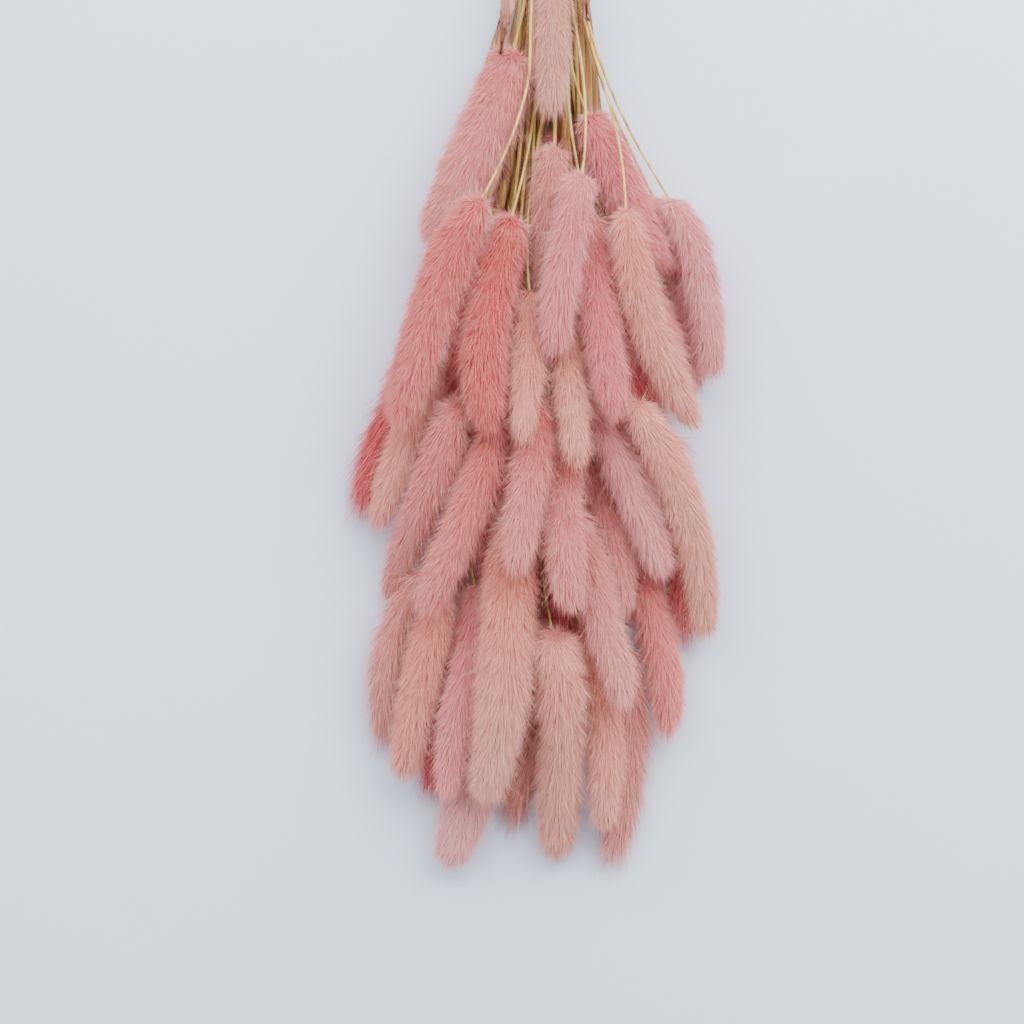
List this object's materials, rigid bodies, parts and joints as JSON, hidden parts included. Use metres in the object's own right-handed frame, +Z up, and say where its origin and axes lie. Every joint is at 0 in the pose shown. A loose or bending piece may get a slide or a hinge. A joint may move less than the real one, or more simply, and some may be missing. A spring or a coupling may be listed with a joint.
{
  "type": "dried bunny tail grass bunch",
  "caption": "Tied bunch of dyed pink bunny tail grass, soft oval seed heads on thin straw stems, laid down on a surface.",
  "frame": {"origin": "centre of the bunch's footprint, on the surface that it lies on", "axes": "+X across the bunch, +Y along the stems from the seed heads to the cut ends, +Z up"},
  "size_m": [0.1056, 0.4338, 0.0408],
  "materials": {
    "rose_down": "soft matt down, dyed",
    "salmon_down": "soft matt down, dyed",
    "peach_down": "soft matt down, dyed",
    "coral_down": "soft matt down, dyed",
    "blush_down": "soft matt down, dyed",
    "dusty_down": "soft matt down, dyed",
    "wine_down": "soft matt down, dyed",
    "straw": "dry straw with a slight sheen",
    "dried_leaf": "matt and crumpled",
    "elastic": "plain"
  },
  "bodies": {
    "root": {"head_01": "rose_down", "head_02": "salmon_down", "head_03": "rose_down", "head_04": "salmon_down", "head_05": "dusty_down", "head_06": "rose_down", "head_07": "wine_down", "head_08": "dusty_down", "head_09": "dusty_down", "head_10": "dusty_down", "head_11": "dusty_down", "head_12": "wine_down", "head_13": "wine_down", "head_14": "wine_down", "head_15": "wine_down", "head_16": "wine_down", "head_17": "wine_down", "head_18": "wine_down", "head_19": "wine_down", "head_20": "blush_down", "head_21": "rose_down", "head_22": "peach_down", "head_23": "peach_down", "head_24": "peach_down", "head_25": "coral_down", "head_26": "salmon_down", "head_27": "peach_down", "head_28": "peach_down", "head_29": "dusty_down", "head_30": "peach_down", "head_31": "salmon_down", "head_32": "salmon_down", "head_33": "coral_down", "head_34": "salmon_down", "head_35": "rose_down", "head_36": "salmon_down", "head_37": "salmon_down", "head_38": "dusty_down", "head_39": "salmon_down", "head_40": "rose_down", "head_41": "peach_down", "head_42": "rose_down", "head_43": "rose_down", "head_44": "rose_down", "head_45": "peach_down", "head_46": "peach_down", "head_47": "salmon_down", "head_48": "salmon_down", "head_49": "blush_down", "stems_1": "straw", "stems_2": "straw", "stems_3": "straw", "stems_4": "straw", "stems_5": "straw", "stems_6": "straw", "leaf_left": "dried_leaf", "leaf_right": "dried_leaf", "band": "elastic"}
  },
  "joints": []
}
